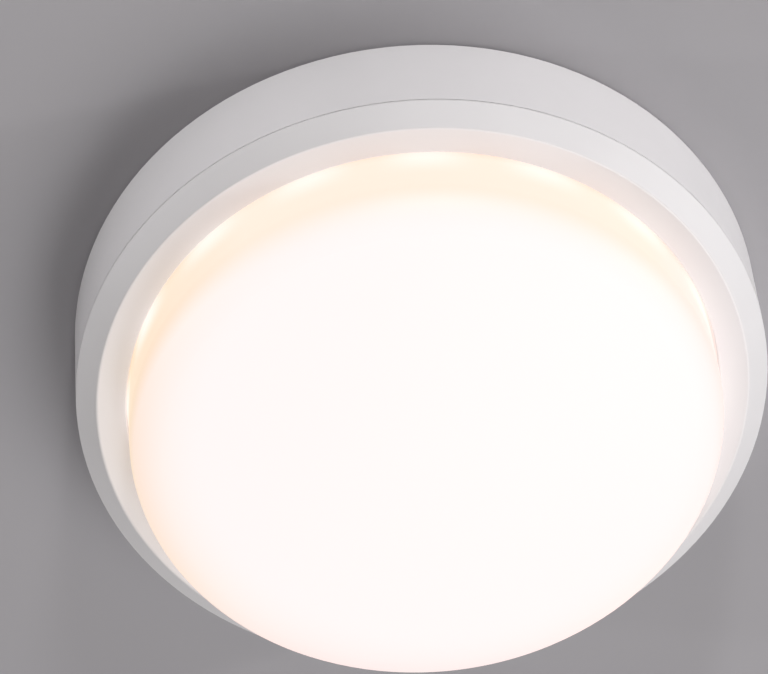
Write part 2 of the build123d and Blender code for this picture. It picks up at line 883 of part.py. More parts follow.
small_screw = (small_head_radius, small_head_height, small_shank_radius)
tiny_screw = (tiny_head_radius, tiny_head_height, tiny_shank_radius)
board_screw_places = polar_places(board_screw_circle, board_screw_count, board_screw_angle)
clamp_top = clamp_boss_top + clamp_size[2]
driver_foot_top = driver_base + driver_foot_thickness
block_seat = block_top - block_recess
for name, places, seat, screw, length in (
    ("tray_screws", tray_corners, tray_high, small_screw, tray_screw_length),
    ("driver_screws", driver_feet, driver_foot_top, small_screw, driver_screw_length),
    ("cord_clamp_screws", clamp_holes, clamp_top, small_screw, clamp_screw_length),
    ("earth_screw", [earth_place], tag_top, small_screw, earth_screw_length),
    ("terminal_screws", block_holes, block_seat, tiny_screw, block_screw_length),
    ("board_screws", board_screw_places, board_top, tiny_screw, board_screw_length),
):
    finish(screws(places, seat, *screw, length), name)


def lead(points, radii, radius):
    """An insulated lead along straight runs joined by tangent arcs."""
    with BuildPart() as tube:
        with BuildLine() as route:
            FilletPolyline(*[place(*point) for point in points], radius=radii)
        with BuildSketch(Plane(origin=route.line @ 0, z_dir=route.line % 0)):
            RegularPolygon(radius, lead_sides)
        sweep(path=route.line)
    return tube


driver_end = driver_place[0] + driver_size[0] / 2
driver_slot_height = driver_top - driver_slot_depth / 2
earth_pole, neutral_pole, live_pole = [pole[0] for pole in poles]
inside_port = block_back + port_depth
connector_angle = radians(connector_turn)
connector_along = (cos(connector_angle), sin(connector_angle))
connector_across = (sin(connector_angle), -cos(connector_angle))
led_lead_height = board_top + thin_lead_radius + seat_gap


def connector_point(inwards, across):
    """A place in front of the connector's inner side, turned with it."""
    back = connector_size[0] / 2 + inwards
    return (
        connector_place[0] - back * connector_along[0] + across * connector_across[0],
        connector_place[1] - back * connector_along[1] + across * connector_across[1],
        led_lead_height,
    )


lead_routes = {
    "live_lead": (
        [
            (live_pole, inside_port, port_height),
            (live_pole, block_back - 7, port_height),
            (30, -76, 12),
            (54, -73, 10),
            (67, -60, 9),
            (72, -34, 9),
            (73, 4, 9),
            (72, 36, 11),
            (69, 54, 16),
            (58, driver_slot + 1, driver_slot_height - 1),
            (driver_end - 5, driver_slot - 2, driver_slot_height),
        ],
        lead_radius,
    ),
    "neutral_lead": (
        [
            (neutral_pole, inside_port, port_height),
            (neutral_pole, block_back - 12, port_height),
            (18, -83, 12),
            (48, -81, 9),
            (71, -67, 9),
            (78, -38, 9),
            (78.5, 0, 9),
            (77, 38, 11),
            (73, 60, 16),
            (60, driver_slot + 6, driver_slot_height - 1),
            (driver_end - 5, driver_slot + 2, driver_slot_height),
        ],
        lead_radius,
    ),
    "earth_lead": (
        [
            (earth_pole, inside_port, port_height),
            (earth_pole, block_back - 6, port_height),
            (-19, earth_place[1] + 1, barrel_height + 1),
            (-29, earth_place[1], barrel_height),
            (earth_place[0] + 7, earth_place[1], barrel_height),
        ],
        lead_radius,
    ),
    "led_lead_positive": (
        [
            (-driver_end + 5, driver_slot + 2, driver_slot_height),
            (-driver_end - 15, driver_slot + 3, driver_slot_height),
            (-71, 63, 23),
            (lead_hole[0] - 0.5, lead_hole[1] + 2.4, 29),
            (lead_hole[0] - 0.2, lead_hole[1] + 2.2, led_lead_height),
            connector_point(4, 2.0),
            connector_point(0, 2.0),
        ],
        thin_lead_radius,
    ),
    "led_lead_negative": (
        [
            (-driver_end + 5, driver_slot - 2, driver_slot_height),
            (-driver_end - 12, driver_slot, driver_slot_height),
            (-67, 60.5, 22),
            (lead_hole[0] + 0.5, lead_hole[1] - 1.6, 29),
            (lead_hole[0] + 0.5, lead_hole[1] - 1.6, led_lead_height),
            connector_point(4, -2.0),
            connector_point(0, -2.0),
        ],
        thin_lead_radius,
    ),
}


def corner_radii(points):
    """For each corner, 0.45 of the shorter run over the tangent of half the turn."""
    spots = [Vector(*place(*point)) for point in points]
    radii = []
    for before, here, after in zip(spots, spots[1:], spots[2:]):
        turn = radians((here - before).get_angle(after - here))
        shorter = min((here - before).length, (after - here).length)
        radii.append(0.45 * shorter * cos(turn / 2) / sin(turn / 2))
    return radii


for name, (points, radius) in lead_routes.items():
    radii = corner_radii(points)
    print(name, "corner radii", [round(value, 1) for value in radii])
    finish(lead(points, radii, radius), name)
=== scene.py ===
import math
import bmesh
import bpy
from mathutils import Matrix, Vector


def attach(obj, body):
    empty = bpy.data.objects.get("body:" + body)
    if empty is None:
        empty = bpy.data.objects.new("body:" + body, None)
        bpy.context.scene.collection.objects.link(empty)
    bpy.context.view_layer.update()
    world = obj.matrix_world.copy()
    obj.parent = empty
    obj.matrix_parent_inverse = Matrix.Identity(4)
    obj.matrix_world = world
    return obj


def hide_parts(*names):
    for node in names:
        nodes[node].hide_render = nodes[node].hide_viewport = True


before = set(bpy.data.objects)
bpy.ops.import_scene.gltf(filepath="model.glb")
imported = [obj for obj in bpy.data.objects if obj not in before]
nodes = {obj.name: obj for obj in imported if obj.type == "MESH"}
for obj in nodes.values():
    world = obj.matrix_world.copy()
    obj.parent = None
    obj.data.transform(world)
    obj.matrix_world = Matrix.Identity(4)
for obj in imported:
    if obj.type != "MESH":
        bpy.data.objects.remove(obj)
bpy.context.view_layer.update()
collection = bpy.context.scene.collection
MM = 0.001


def spot(x, z, height):
    """A point of the light in metres, from its place on the front and its height, in mm."""
    return Vector((x * MM, -height * MM, z * MM))


# Camera: the photograph's view, from above and a little to the left
VIEW_RIGHT = Vector((0.99827, -0.0588, 0.0))
VIEW_BACK = Vector((-0.04808, -0.81629, 0.5757))
VIEW_DISTANCE = 1.6223
VIEW_SHIFT = -0.0133
LENS = 185.06
SENSOR = 36.0

camera_data = bpy.data.cameras.new("camera")
camera_data.lens = LENS
camera_data.sensor_width = SENSOR
camera = bpy.data.objects.new("camera", camera_data)
collection.objects.link(camera)
view_back = VIEW_BACK.normalized()
view_right = (VIEW_RIGHT - VIEW_RIGHT.dot(view_back) * view_back).normalized()
view_up = view_back.cross(view_right)
view_turn = Matrix((view_right, view_up, view_back)).transposed()
camera.matrix_world = view_turn.to_4x4()
camera.location = VIEW_SHIFT * view_right + VIEW_DISTANCE * view_back
bpy.context.scene.camera = camera
bpy.context.scene.view_settings.view_transform = "Standard"

# Material tools. Sizes in materials are in mm.
NOISE_RANGE = (0.3, 0.7)
BLACK = (0.0, 0.0, 0.0, 1.0)
WHITE = (1.0, 1.0, 1.0, 1.0)


def tone(red, green, blue):
    """A colour written as 0 to 255, as the linear colour that nodes take."""
    def linear(value):
        part = value / 255
        return part / 12.92 if part <= 0.04045 else ((part + 0.055) / 1.055) ** 2.4
    return (linear(red), linear(green), linear(blue), 1.0)


class Shader:
    """A material's nodes, with a short call for each kind used here."""

    def __init__(self, name, **surface):
        self.material = bpy.data.materials.new(name)
        self.material.use_nodes = True
        self.tree = self.material.node_tree
        self.surface = self.tree.nodes["Principled BSDF"]
        for socket, value in surface.items():
            self.fix(socket.replace("_", " "), value)
        place = self.tree.nodes.new("ShaderNodeTexCoord").outputs["Object"]
        self.place = self.vector("SCALE", place, scale=1 / MM)

    def wire(self, node, socket, value):
        """Link an output to a node's input, or set a plain value on it."""
        target = node.inputs[socket]
        if isinstance(value, bpy.types.NodeSocket):
            self.tree.links.new(value, target)
        else:
            target.default_value = value

    def set(self, socket, value):
        """Drive one of the surface's sockets."""
        self.wire(self.surface, socket, value)

    def fix(self, socket, value):
        """Give one of the surface's sockets a value that is the same all over."""
        self.surface.inputs[socket].default_value = value

    def vector(self, operation, first, second=(0, 0, 0), scale=1.0):
        """The result of one operation on vectors."""
        node = self.tree.nodes.new("ShaderNodeVectorMath")
        node.operation = operation
        self.wire(node, 0, first)
        self.wire(node, 1, second)
        if operation == "SCALE":
            node.inputs["Scale"].default_value = scale
        return node.outputs["Value" if operation in ("LENGTH", "DOT_PRODUCT") else "Vector"]

    def sums(self, operation, first, second=0.0):
        """The result of one operation on numbers."""
        node = self.tree.nodes.new("ShaderNodeMath")
        node.operation = operation
        self.wire(node, 0, first)
        self.wire(node, 1, second)
        return node.outputs[0]

    def parts(self, vector):
        """The x, y and z of a vector."""
        node = self.tree.nodes.new("ShaderNodeSeparateXYZ")
        self.wire(node, 0, vector)
        return node.outputs

    def joined(self, x, y, z):
        """A vector of three values."""
        node = self.tree.nodes.new("ShaderNodeCombineXYZ")
        for index, value in enumerate((x, y, z)):
            self.wire(node, index, value)
        return node.outputs[0]

    def radius(self):
        """The distance from the light's axis."""
        x, _, z = self.parts(self.place)
        return self.vector("LENGTH", self.joined(x, 0.0, z))

    def height(self):
        """The height in front of the wall."""
        return self.sums("MULTIPLY", self.parts(self.place)[1], -1.0)

    def angle(self):
        """The angle round the light's axis."""
        x, _, z = self.parts(self.place)
        return self.sums("ARCTAN2", z, x)

    def noise(self, size, detail=2.0, place=None):
        """Noise whose features are about size mm wide."""
        node = self.tree.nodes.new("ShaderNodeTexNoise")
        self.wire(node, "Vector", place or self.place)
        node.inputs["Scale"].default_value = 1 / size
        node.inputs["Detail"].default_value = detail
        return node.outputs["Fac"]

    def cells(self, size):
        """The distance from the middle of cells about size mm wide."""
        node = self.tree.nodes.new("ShaderNodeTexVoronoi")
        self.wire(node, "Vector", self.place)
        node.inputs["Scale"].default_value = 1 / size
        return node.outputs["Distance"]

    def span(self, value, low, high, start=0.0, end=1.0, smooth=False):
        """A value's range mapped to another one, clamped."""
        node = self.tree.nodes.new("ShaderNodeMapRange")
        node.interpolation_type = "SMOOTHSTEP" if smooth else "LINEAR"
        for index, number in enumerate((value, low, high, start, end)):
            self.wire(node, index, number)
        return node.outputs[0]

    def spread(self, noise, low, high):
        """Noise stretched to run from low to high."""
        return self.span(noise, *NOISE_RANGE, low, high)

    def blend(self, factor, first, second):
        """The first colour where the factor is 0, the second where it is 1."""
        node = self.tree.nodes.new("ShaderNodeMix")
        node.data_type = "RGBA"
        self.wire(node, 0, factor)
        self.wire(node, 6, first)
        self.wire(node, 7, second)
        return node.outputs[2]

    def bump(self, height, depth, under=None):
        """A bump whose full height is depth mm, over another one if given."""
        node = self.tree.nodes.new("ShaderNodeBump")
        node.inputs["Strength"].default_value = 1.0
        node.inputs["Distance"].default_value = depth * MM
        self.wire(node, "Height", height)
        if under:
            self.wire(node, "Normal", under)
        return node.outputs[0]

    def shade_of(self, colour, share, size):
        """A colour that wanders a little lighter and darker."""
        darker = tuple(part * (1 - share) for part in colour[:3]) + (1.0,)
        lighter = tuple(min(1.0, part * (1 + share)) for part in colour[:3]) + (1.0,)
        return self.blend(self.spread(self.noise(size), 0.0, 1.0), darker, lighter)


def dress(node, material):
    """Give a CAD node its finished material."""
    if not nodes[node].material_slots:
        nodes[node].data.materials.append(material)
        return
    for slot in nodes[node].material_slots:
        slot.material = material


# Finishes
PAINT_SHADE = (0.012, 35.0)
PAINT_ROUGHNESS = (0.40, 0.50)
PAINT_GLOSS = 0.4
GLOSS_SIZE = 6.0
PEEL_SIZE = 1.6
PEEL_DEPTH = 0.012
GRAIN_SIZE = 0.28
GRAIN_DEPTH = 0.0042
MOULD_SHADE = (0.02, 12.0)
MOULD_GLOSS_SIZE = 3.0
MOULD_GLOSS_SPREAD = 0.05
PLATE_SHADE = (0.06, 2.0)
PLATE_ROUGHNESS = (0.22, 0.42)
SCRATCH_SIZE = 0.25
SCRATCH_DETAIL = 3.0
SCRATCH_STRETCH = (1.0, 1.0, 0.15)
SCRATCH_DEPTH = 0.004
FOAM_CELL = 0.7
FOAM_PIT = 0.6
FOAM_DEPTH = 0.25
FOAM_PAINTED_SHADE = 0.55


def powder_coat(name, colour, glow=None):
    """Baked powder paint: an even tone, a fine orange peel and a soft sheen."""
    shader = Shader(name)
    # When given, glow paints light onto the surface as an emission: painted light
    if glow:
        glow(shader)
    shader.set("Base Color", shader.shade_of(colour, *PAINT_SHADE))
    shader.set("Roughness", shader.spread(shader.noise(GLOSS_SIZE), *PAINT_ROUGHNESS))
    shader.fix("Specular IOR Level", PAINT_GLOSS)
    peel = shader.bump(shader.noise(PEEL_SIZE, 1.0), PEEL_DEPTH)
    shader.set("Normal", shader.bump(shader.noise(GRAIN_SIZE), GRAIN_DEPTH, under=peel))
    return shader.material


def moulded(name, colour, roughness=0.4, depth=0.01, size=0.5):
    """Moulded plastic or rubber with a fine mould texture."""
    shader = Shader(name)
    low = roughness - MOULD_GLOSS_SPREAD
    high = roughness + MOULD_GLOSS_SPREAD
    shader.set("Base Color", shader.shade_of(colour, *MOULD_SHADE))
    shader.set("Roughness", shader.spread(shader.noise(MOULD_GLOSS_SIZE), low, high))
    shader.set("Normal", shader.bump(shader.noise(size), depth))
    return shader.material


def plated(name, colour):
    """Bright plated metal with fine scratches."""
    shader = Shader(name, Metallic=1.0)
    stretched = shader.vector("MULTIPLY", shader.place, SCRATCH_STRETCH)
    scratches = shader.noise(SCRATCH_SIZE, SCRATCH_DETAIL, stretched)
    shader.set("Base Color", shader.shade_of(colour, *PLATE_SHADE))
    shader.set("Roughness", shader.spread(scratches, *PLATE_ROUGHNESS))
    shader.set("Normal", shader.bump(scratches, SCRATCH_DEPTH))
    return shader.material


def foam(name, colour):
    """Closed-cell foam: small pits all over, painted darker towards their bottoms as painted shade."""
    shader = Shader(name, Roughness=0.9)
    pits = shader.cells(FOAM_CELL)
    # Painted shade: the pits are darker towards their bottoms
    darker = tuple(part * FOAM_PAINTED_SHADE for part in colour[:3]) + (1.0,)
    shader.set("Base Color", shader.blend(shader.span(pits, 0.0, FOAM_PIT), darker, colour))
    shader.set("Normal", shader.bump(pits, FOAM_DEPTH))
    return shader.material


# Opal diffuser, lit from inside
DIODES = 16
LIP_HEIGHT = 46.0
SPOT_TOP = 60.0
SPOT_WAVE = (-0.9, 1.0)
WALL_TOP = 68.0
WALL_FADE = 83.0
# The white patch sits a little right of and above the middle, so the warm border is wider on the left and
# below: painted shade
PATCH_CENTRE = (6.0, -70.0, 11.0)
PATCH_REACH = (95.0, 1000.0, 97.0)
PATCH_EDGE = (0.98, 1.37)
PATCH_CURVE = 2.0
# Dimmer tones of the border on the left, on the right and below: painted shade
LEFT_SHADE_BORDER = (-70.0, -116.0)
RIGHT_SHADE_BORDER = (85.0, 116.0)
LOW_SHADE_BORDER = (-60.0, -112.0)
CROWN_LIGHT = (1.02, 0.86, 0.85, 1.0)
WALL_LIGHT = (1.0, 0.77, 0.64, 1.0)
LEFT_PAINTED_SHADE = (0.88, 0.69, 0.51, 1.0)
RIGHT_PAINTED_SHADE = (0.90, 0.74, 0.69, 1.0)
LOW_PAINTED_SHADE = (0.87, 0.72, 0.69, 1.0)
SPOT_LIGHT = (1.02, 0.875, 0.79, 1.0)
OPAL_GREY = tone(92, 91, 90)
OPAL_GLOSS = 0.35
OPAL_SHADE = (0.01, 30.0)
OPAL_GRAIN = 0.35
OPAL_DEPTH = 0.003
CROWN_CENTRE = (0.0, 340.5, 0.0)
CROWN_FADE = (60.0, 95.0)


def opal_diffuser():
    """Opal plastic that glows, with a fine grain and a soft sheen."""
    shader = Shader("opal_diffuser", Roughness=0.55)
    shader.fix("Specular IOR Level", OPAL_GLOSS)
    shader.set("Base Color", shader.shade_of(OPAL_GREY, *OPAL_SHADE))
    shader.set("Emission Color", diffuser_light(shader))
    shader.fix("Emission Strength", 1.0)
    grain = shader.noise(OPAL_GRAIN)
    shader.set("Normal", shader.bump(grain, OPAL_DEPTH, under=crown_normal(shader)))
    return shader.material


def diffuser_light(shader):
    """White on the crown, warm at its border and on the wall, and pale at the lip by each outer diode.
    The border is painted dimmer on the left, on the right and below, and is wider there: painted shade.
    """
    x, _, z = shader.parts(shader.place)
    height = shader.height()
    from_patch = shader.vector("SUBTRACT", shader.place, PATCH_CENTRE)
    reach = shader.vector("LENGTH", shader.vector("DIVIDE", from_patch, PATCH_REACH))
    border = shader.sums("POWER", shader.span(reach, *PATCH_EDGE), PATCH_CURVE)
    wall = shader.span(height, WALL_FADE, WALL_TOP, smooth=True)
    # Painted shade: the border turns dimmer towards the left, the right and the bottom
    warm = shader.blend(shader.span(x, *LEFT_SHADE_BORDER), WALL_LIGHT, LEFT_PAINTED_SHADE)
    warm = shader.blend(shader.span(x, *RIGHT_SHADE_BORDER), warm, RIGHT_PAINTED_SHADE)
    warm = shader.blend(shader.span(z, *LOW_SHADE_BORDER), warm, LOW_PAINTED_SHADE)
    glow = shader.blend(shader.sums("MAXIMUM", border, wall), CROWN_LIGHT, warm)
    wave = shader.sums("COSINE", shader.sums("MULTIPLY", shader.angle(), DIODES))
    near = shader.span(wave, *SPOT_WAVE)
    low = shader.span(height, SPOT_TOP, LIP_HEIGHT, smooth=True)
    return shader.blend(shader.sums("MULTIPLY", near, low), glow, SPOT_LIGHT)


def crown_normal(shader):
    """The normal of the crown's sphere over its middle, and the mesh's own towards the shoulder."""
    own = shader.tree.nodes.new("ShaderNodeNewGeometry").outputs["Normal"]
    outward = shader.vector("NORMALIZE", shader.vector("SUBTRACT", shader.place, CROWN_CENTRE))
    side = shader.sums("SIGN", shader.vector("DOT_PRODUCT", own, outward))
    sphere = shader.vector("MULTIPLY", outward, shader.joined(side, side, side))
    towards_shoulder = shader.span(shader.radius(), *CROWN_FADE)
    return shader.vector("NORMALIZE", shader.blend(towards_shoulder, sphere, own))


# Painted light on the trim ring's face: an emission in place of the diffuser's light falling on it
RING_LIP = 119.2
RING_CREST = 131.3
CREST_EDGE = 0.6
CREST_SHARE = 0.75
FACE_HEIGHT = (45.6, 46.3)
# Colours of the painted light on the face: faint all round, stronger on the dim side
FACE_PAINTED_LIGHT = (0.105, 0.10, 0.10, 1.0)
SIDE_PAINTED_LIGHT = (0.34, 0.325, 0.32, 1.0)
DIM_SIDE = (-0.76, 0.0, 0.65)
DIM_CURVE = 1.6


def painted_face_light(shader):
    """Painted light: a faint emission on the face in place of the diffuser's light on it, stronger on the
    side that the lamps leave dim.
    """
    radius = shader.radius()
    near = shader.span(radius, RING_LIP, RING_CREST, 1.0, CREST_SHARE)
    ahead = shader.span(shader.height(), *FACE_HEIGHT)
    inside = shader.span(radius, RING_CREST - CREST_EDGE, RING_CREST, 1.0, 0.0)
    share = shader.sums("MULTIPLY", shader.sums("MULTIPLY", near, ahead), inside)
    towards = shader.vector("DOT_PRODUCT", shader.place, DIM_SIDE)
    dim = shader.sums("POWER", shader.span(towards, 0.0, RING_CREST), DIM_CURVE)
    glow = shader.blend(dim, FACE_PAINTED_LIGHT, SIDE_PAINTED_LIGHT)
    # The face's emission is painted light: the ring glows though it is no lamp
    shader.set("Emission Color", shader.blend(share, BLACK, glow))
    shader.fix("Emission Strength", 1.0)


# LED board: white mask over copper tracks, tinned pads beside the diodes
ROW_RADII = (106.0, 91.0)
ROW_STARTS = (0.0, 0.5)
WHOLE_STEPS = 20
TRACK_OFFSET = 3.2
TRACK_HALF = 0.8
TRACK_EDGE = 0.12
PAD_ALONG = 1.0
PAD_ASIDE = 2.6
PAD_EDGE = 0.1
COPPER_HEIGHT = 0.05
BOARD_WHITE = tone(240, 240, 238)
BOARD_SHADE = (0.01, 9.0)
TRACK_WHITE = tone(226, 228, 222)
TIN = tone(196, 198, 200)
MASK_GRAIN = 0.4
MASK_DEPTH = 0.004


def board_mask():
    """White mask that rises over ring-shaped tracks, and bare tinned pads."""
    shader = Shader("board_mask", Roughness=0.35)
    radius = shader.radius()
    steps = shader.sums("DIVIDE", shader.angle(), 2 * math.pi / DIODES)
    track = 0.0
    pad = 0.0
    for row, start in zip(ROW_RADII, ROW_STARTS):
        from_row = shader.sums("ABSOLUTE", shader.sums("SUBTRACT", radius, row))
        from_track = shader.sums("ABSOLUTE", shader.sums("SUBTRACT", from_row, TRACK_OFFSET))
        line = shader.span(from_track, TRACK_HALF, TRACK_HALF + TRACK_EDGE, 1.0, 0.0)
        track = shader.sums("MAXIMUM", line, track)
        part = shader.sums("FRACT", shader.sums("ADD", steps, WHOLE_STEPS + 0.5 - start))
        aside = shader.sums("MULTIPLY", shader.sums("SUBTRACT", part, 0.5), radius)
        aside = shader.sums("ABSOLUTE", shader.sums("MULTIPLY", aside, 2 * math.pi / DIODES))
        inner = shader.span(from_row, PAD_ALONG, PAD_ALONG + PAD_EDGE, 1.0, 0.0)
        outer = shader.span(aside, PAD_ASIDE, PAD_ASIDE + PAD_EDGE, 1.0, 0.0)
        pad = shader.sums("MAXIMUM", shader.sums("MULTIPLY", inner, outer), pad)
    colour = shader.blend(track, shader.shade_of(BOARD_WHITE, *BOARD_SHADE), TRACK_WHITE)
    shader.set("Base Color", shader.blend(pad, colour, TIN))
    shader.set("Metallic", pad)
    raised = shader.bump(shader.sums("MAXIMUM", track, pad), COPPER_HEIGHT)
    shader.set("Normal", shader.bump(shader.noise(MASK_GRAIN), MASK_DEPTH, under=raised))
    return shader.material


# Finishes of the CAD nodes
WHITE_PAINT = tone(228, 225, 226)
TRAY_PAINT = tone(240, 240, 239)
RUBBER_BLACK = tone(38, 38, 40)
BUTTON_ORANGE = tone(222, 104, 30)
DRIVER_WHITE = tone(230, 230, 228)
MOULDINGS = {
    "diffuser_gasket": (tone(205, 205, 203), 0.5),
    "cable_grommet": (RUBBER_BLACK, 0.6),
    "spare_entry_plug": (RUBBER_BLACK, 0.6),
    "cord_clamp": (tone(225, 225, 224), 0.45),
    "terminal_block": (tone(226, 226, 224), 0.35),
    "terminal_button_live": (BUTTON_ORANGE, 0.3),
    "terminal_button_neutral": (BUTTON_ORANGE, 0.3),
    "terminal_button_earth": (BUTTON_ORANGE, 0.3),
    "driver_case": (DRIVER_WHITE, 0.45),
    "driver_lid": (DRIVER_WHITE, 0.45),
    "driver_board": (tone(28, 96, 48), 0.4),
}

dress("housing", powder_coat("body_paint", WHITE_PAINT))
# The ring's paint also carries painted light on its face, as an emission
dress("trim_ring", powder_coat("ring_paint", WHITE_PAINT, painted_face_light))
dress("gear_tray", powder_coat("tray_paint", TRAY_PAINT))
dress("diffuser", opal_diffuser())
for node, (colour, roughness) in MOULDINGS.items():
    dress(node, moulded(node, colour, roughness))
dress("led_board", board_mask())
dress("wall_gasket", foam("wall_foam", tone(56, 56, 58)))
dress("terminal_contacts", plated("terminal_contacts", tone(214, 176, 92)))
dress("earth_tag", plated("earth_tag", tone(214, 214, 212)))

# Forms lofted through loops of points, in mm: x and z across the front, and a height
CROSS_HALF = 0.13
CROSS_LENGTH = 0.62
SQUARE_CORNER = 1.33
SMOOTH_BELOW = math.radians(38)
ARM_STEPS = 3
WELD = 0.005
TINY = 1e-6

# The angles of a loop hit the corners of a square and of a cross recess
arm_corner = math.atan2(CROSS_HALF, CROSS_LENGTH)
arm_step = (math.pi / 4 - arm_corner) / ARM_STEPS
eighth = [0.0] + [arm_corner + step * arm_step for step in range(ARM_STEPS + 1)]
quarter = eighth + [math.pi / 2 - angle for angle in reversed(eighth[1:-1])]
ANGLES = [angle + side * math.pi / 2 for side in range(4) for angle in quarter]


def round_reach(angle):
    """A circle of radius 1."""
    return 1.0


def cross_reach(angle):
    """How far a cross recess reaches, as a share of its head's radius."""
    wide, narrow = sorted((abs(math.cos(angle)), abs(math.sin(angle))), reverse=True)
    return min(CROSS_LENGTH / wide, CROSS_HALF / max(narrow, TINY))


def square_reach(angle):
    """A square of half width 1, with its corners taken off."""
    return min(1 / max(abs(math.cos(angle)), abs(math.sin(angle))), SQUARE_CORNER)


def loop_round(x, z, height, size, reach=round_reach, turn=0.0, crown=0.0):
    """A loop of the given reach round a place. Its points drop by crown times their radius squared."""
    loop = []
    for angle in ANGLES:
        radius = size * reach(angle)
        aside = radius * math.cos(angle + turn)
        up = radius * math.sin(angle + turn)
        loop.append((x + aside, z + up, height - crown * radius**2))
    return loop


def stands_for(piece, node, body="housing"):
    """Let a piece move with a body, in the place of one of its nodes, which it hides."""
    collection.objects.link(piece)
    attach(piece, body)
    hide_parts(node)


class Form:
    """A mesh that grows by lofts, and becomes a piece in place of a CAD node."""

    def __init__(self):
        self.mesh = bmesh.new()

    def loft(self, loops):
        """A closed skin through loops of equally many (x, z, height) points."""
        rows = [[self.mesh.verts.new(spot(*point)) for point in loop] for loop in loops]
        for low, high in zip(rows, rows[1:]):
            for index in range(len(low)):
                after = (index + 1) % len(low)
                self.mesh.faces.new((low[index], low[after], high[after], high[index]))
        self.mesh.faces.new(reversed(rows[0]))
        self.mesh.faces.new(rows[-1])

    def finish(self, name, node, material):
        """Shade the mesh, smooth but for its real edges, and put it in the node's place."""
        data = bpy.data.meshes.new(name)
        bmesh.ops.recalc_face_normals(self.mesh, faces=self.mesh.faces)
        self.mesh.to_mesh(data)
        self.mesh.free()
        data.shade_smooth()
        data.set_sharp_from_angle(angle=SMOOTH_BELOW)
        data.materials.append(material)
        stands_for(bpy.data.objects.new(name, data), node)


def joined_vertices(mesh):
    """The mesh's vertices in groups, one for each separate solid."""
    left = set(mesh.verts)
    while left:
        group = [left.pop()]
        for vertex in group:
            for edge in vertex.link_edges:
                other = edge.other_vert(vertex)
                if other in left:
                    left.remove(other)
                    group.append(other)
        yield group


def solids_of(node):
    """Each separate solid of a CAD node, as x, z, width, lowest and highest height in mm."""
    mesh = bmesh.new()
    mesh.from_mesh(nodes[node].data)
    bmesh.ops.remove_doubles(mesh, verts=mesh.verts, dist=WELD * MM)
    found = []
    for group in joined_vertices(mesh):
        places = [vertex.co / MM for vertex in group]
        low = [min(place[axis] for place in places) for axis in range(3)]
        high = [max(place[axis] for place in places) for axis in range(3)]
        x = round((low[0] + high[0]) / 2, 2)
        z = round((low[2] + high[2]) / 2, 2)
        found.append((x, z, high[0] - low[0], -high[1], -low[1]))
    mesh.free()
    return sorted(found)


# Screws: a pan head with a cross recess, and a rolled thread
LARGE_FROM = 2.5
LARGE_HEAD = 1.9
LARGE_SHANK = 1.45
SMALL_HEAD = 1.2
SMALL_SHANK = 1.0
CROWN_DROP = 0.3
# Depth as a share of the head's height, and width as a share of its radius
RECESS_POINT = (0.75, 0.1)
RECESS_FLOOR = (0.65, 0.75)
BROW_ROWS = ((0.42, 0.97), (0.62, 1.0))
DOME_ROWS = (0.7, 0.88)
HEAD_EDGE = 0.08
UNDER_HEAD = 0.97
NECK = 0.3
TIP = 0.4
TIP_SHARE = 0.6
PITCH = 0.7
THREAD_DEPTH = 0.16
ROWS_A_TURN = 4
TURN_STEP = 0.8
STEEL = plated("zinc_plated_steel", tone(205, 208, 212))
SCREW_NODES = (
    "tray_screws",
    "board_screws",
    "driver_screws",
    "terminal_screws",
    "cord_clamp_screws",
    "earth_screw",
)


def thread(x, z, top, bottom, radius):
    """Loops down a shank whose surface rises and falls once a turn of the thread."""
    steps = round((top - bottom) / PITCH * ROWS_A_TURN)
    for step in range(steps + 1):
        height = top - (top - bottom) * step / steps
        loop = []
        for angle in ANGLES:
            phase = (height / PITCH + angle / (2 * math.pi)) % 1.0
            reach = radius - THREAD_DEPTH * abs(2 * phase - 1)
            loop.append((x + reach * math.cos(angle), z + reach * math.sin(angle), height))
        yield loop


def screw(form, x, z, width, low, high, turn):
    """One screw in the box of its solid. The head's width tells a large one from a small one."""
    radius = width / 2
    large = radius > LARGE_FROM
    head = LARGE_HEAD if large else SMALL_HEAD
    shank = LARGE_SHANK if large else SMALL_SHANK
    seat = high - head
    crown = CROWN_DROP * head / radius**2
    depth, share = RECESS_POINT
    loops = [loop_round(x, z, high - depth * head, share * radius, turn=turn)]
    depth, share = RECESS_FLOOR
    loops.append(loop_round(x, z, high - depth * head, share * radius, cross_reach, turn))
    loops.append(loop_round(x, z, high, radius, cross_reach, turn, crown))
    for share in DOME_ROWS:
        loops.append(loop_round(x, z, high, share * radius, turn=turn, crown=crown))
    for depth, share in BROW_ROWS:
        loops.append(loop_round(x, z, high - depth * head, share * radius, turn=turn))
    loops.append(loop_round(x, z, seat + HEAD_EDGE, radius, turn=turn))
    loops.append(loop_round(x, z, seat, UNDER_HEAD * radius, turn=turn))
    loops.append(loop_round(x, z, seat, shank, turn=turn))
    loops.extend(thread(x, z, seat - NECK, low + TIP, shank))
    loops.append(loop_round(x, z, low, TIP_SHARE * shank))
    form.loft(loops)


for node in SCREW_NODES:
    form = Form()
    for index, solid in enumerate(solids_of(node)):
        screw(form, *solid, turn=TURN_STEP * index)
    form.finish(node + "_cut", node, STEEL)

